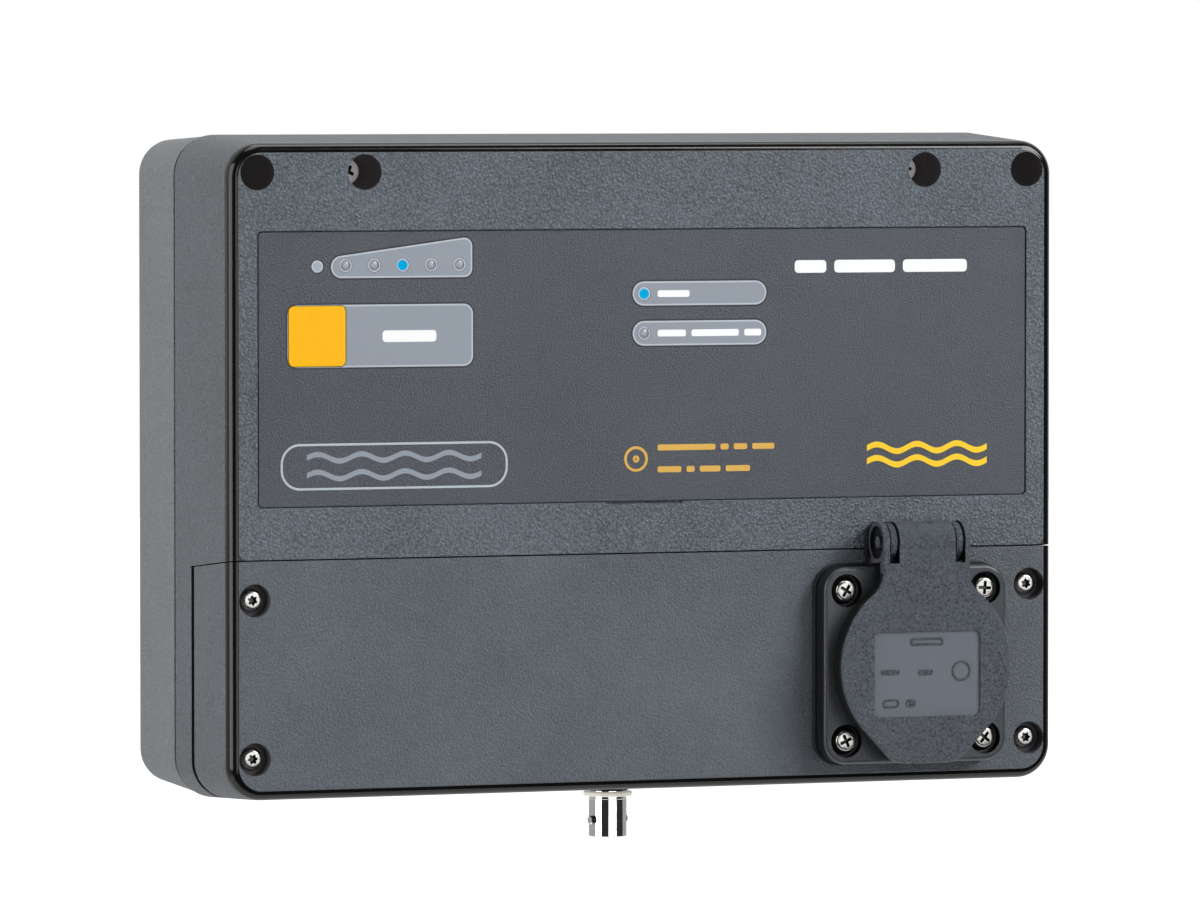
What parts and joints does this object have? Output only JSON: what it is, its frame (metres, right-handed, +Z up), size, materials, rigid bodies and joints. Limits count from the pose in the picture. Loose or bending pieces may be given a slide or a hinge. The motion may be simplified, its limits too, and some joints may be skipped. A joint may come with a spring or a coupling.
{
  "type": "salt chlorinator control unit",
  "caption": "Wall-mounted pool control box with membrane panel, mode key, lidded plug socket and coaxial probe jack.",
  "frame": {"origin": "centre of the rear face, on the plane of the wall", "axes": "+X to the right as seen from the front, +Y into the wall, +Z up"},
  "size_m": [0.225, 0.0856, 0.1788],
  "materials": {
    "casing_plastic": "fine moulded texture",
    "tray_plastic": "fine moulded texture",
    "panel_film": "satin film",
    "key_plastic": "satin",
    "lens_clear": "clear",
    "lens_lit": "lit",
    "black_plastic": "moulded",
    "lid_plastic": "spark-eroded texture",
    "black_rubber": "moulded",
    "cream_plastic": "smooth",
    "nickel_plate": "bright",
    "contact_brass": "plain",
    "plain_steel": "plain",
    "circuit_board": "solder mask",
    "coil_tape": "wound",
    "terminal_green": "smooth",
    "capacitor_sleeve": "sleeve",
    "ribbon_grey": "smooth",
    "lead_brown": "smooth",
    "lead_blue": "smooth",
    "lead_green": "smooth",
    "lead_black": "smooth"
  },
  "bodies": {
    "housing": {"front_shell": "casing_plastic", "terminal_cover": "casing_plastic", "rear_tray": "tray_plastic", "overlay": "panel_film", "level_lens_1": "lens_clear", "level_lens_2": "lens_clear", "level_lens_4": "lens_clear", "level_lens_5": "lens_clear", "fault_lens": "lens_clear", "system_lens": "lens_clear", "level_lens_3": "lens_lit", "auto_lens": "lens_lit", "socket_housing": "black_plastic", "contact_insert": "black_plastic", "relay": "black_plastic", "fuse_holder": "black_plastic", "mode_switch": "black_plastic", "shell_gasket": "black_rubber", "cover_gasket": "black_rubber", "socket_gasket": "black_rubber", "bnc_seal": "black_rubber", "mains_grommet": "black_rubber", "bnc_washer": "cream_plastic", "bnc_insulator": "cream_plastic", "bnc_body": "nickel_plate", "bnc_nut": "nickel_plate", "socket_screw_left_lower": "nickel_plate", "socket_screw_left_upper": "nickel_plate", "socket_screw_right_lower": "nickel_plate", "socket_screw_right_upper": "nickel_plate", "cover_screw_left_upper": "nickel_plate", "cover_screw_left_lower": "nickel_plate", "cover_screw_right_upper": "nickel_plate", "cover_screw_right_lower": "nickel_plate", "shell_screw_left": "nickel_plate", "shell_screw_right": "nickel_plate", "lid_pin": "nickel_plate", "contact_sleeve_1": "nickel_plate", "contact_sleeve_2": "nickel_plate", "earth_clip": "nickel_plate", "fuse": "nickel_plate", "bnc_contact": "contact_brass", "transformer_core": "plain_steel", "lid_spring": "plain_steel", "board_screw_1": "plain_steel", "board_screw_2": "plain_steel", "main_board": "circuit_board", "display_board": "circuit_board", "transformer_coil": "coil_tape", "terminal_block": "terminal_green", "capacitor": "capacitor_sleeve", "ribbon_cable": "ribbon_grey", "line_lead": "lead_brown", "neutral_lead": "lead_blue", "earth_lead": "lead_green", "probe_lead": "lead_black"},
    "mode_key": {"mode_button": "key_plastic", "switch_plunger": "black_plastic"},
    "lid": {"socket_lid": "lid_plastic", "lid_seal": "black_rubber"}
  },
  "joints": [
    {"name": "mode_press", "type": "slide", "parent": "housing", "child": "mode_key", "axis": [0, 1, 0], "range_m": [0, 0.0005], "stiffness_N_per_m": 1500, "springref_m": -0.0008},
    {"name": "lid_hinge", "type": "hinge", "parent": "housing", "child": "lid", "pos_m": [0.07, -0.0804, -0.0198], "axis": [-1, 0, 0], "range_deg": [0, 115], "stiffness_Nm_per_rad": 0.02, "springref_deg": -57.3}
  ]
}
